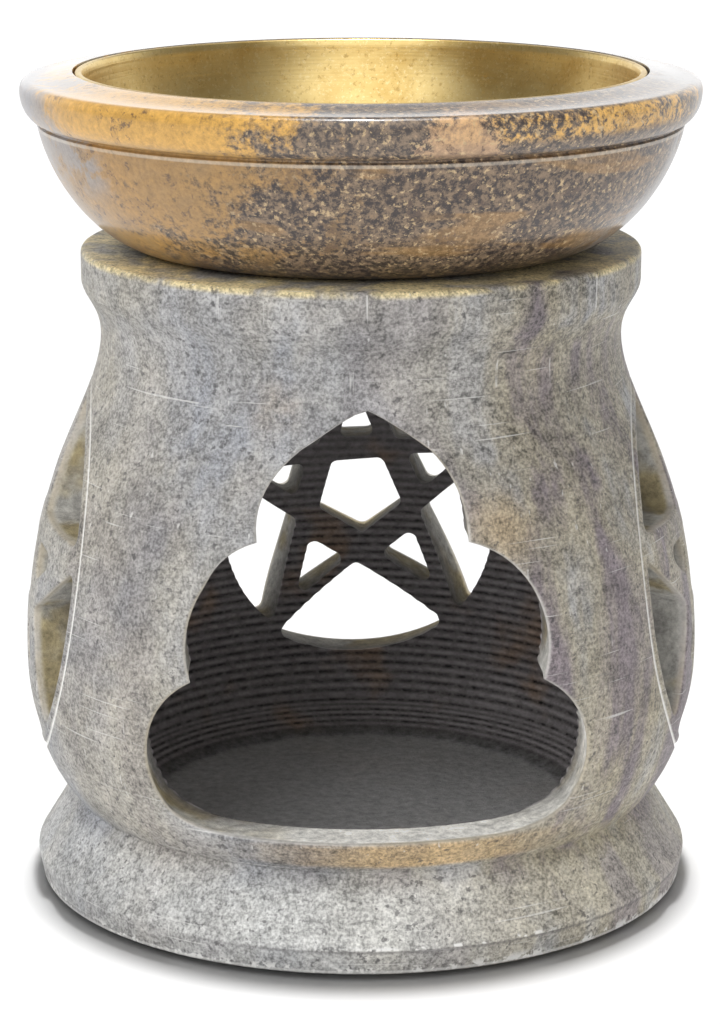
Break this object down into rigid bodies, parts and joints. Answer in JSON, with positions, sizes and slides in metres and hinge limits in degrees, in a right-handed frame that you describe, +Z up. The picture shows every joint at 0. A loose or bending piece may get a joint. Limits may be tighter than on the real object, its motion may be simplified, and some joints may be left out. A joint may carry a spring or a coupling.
{
  "type": "essential oil burner",
  "caption": "Turned soapstone oil burner with a foiled candle arch, pierced star windows, a lift-off stone dish and a spun brass bowl over a tealight chamber.",
  "frame": {"origin": "middle of the foot's underside, on the table", "axes": "+Z up along the turning axis, the candle arch faces -Y, the star windows face +X, +Y and -X"},
  "size_m": [0.0826, 0.0819, 0.1],
  "materials": {
    "body_soapstone": "grey soapstone, hand rubbed and waxed, dark and rough in the bore",
    "dish_soapstone": "ochre and dark brown mottled soapstone, polished",
    "bowl_brass": "satin spun"
  },
  "bodies": {
    "body": {"stone_body": "body_soapstone"},
    "dish": {"stone_dish": "dish_soapstone"},
    "bowl": {"brass_bowl": "bowl_brass"}
  },
  "joints": [
    {"name": "dish_lift", "type": "slide", "parent": "body", "child": "dish", "axis": [0, 0, 1], "range_m": [0, 0.04]},
    {"name": "bowl_lift", "type": "slide", "parent": "dish", "child": "bowl", "axis": [0, 0, 1], "range_m": [0, 0.03]}
  ]
}
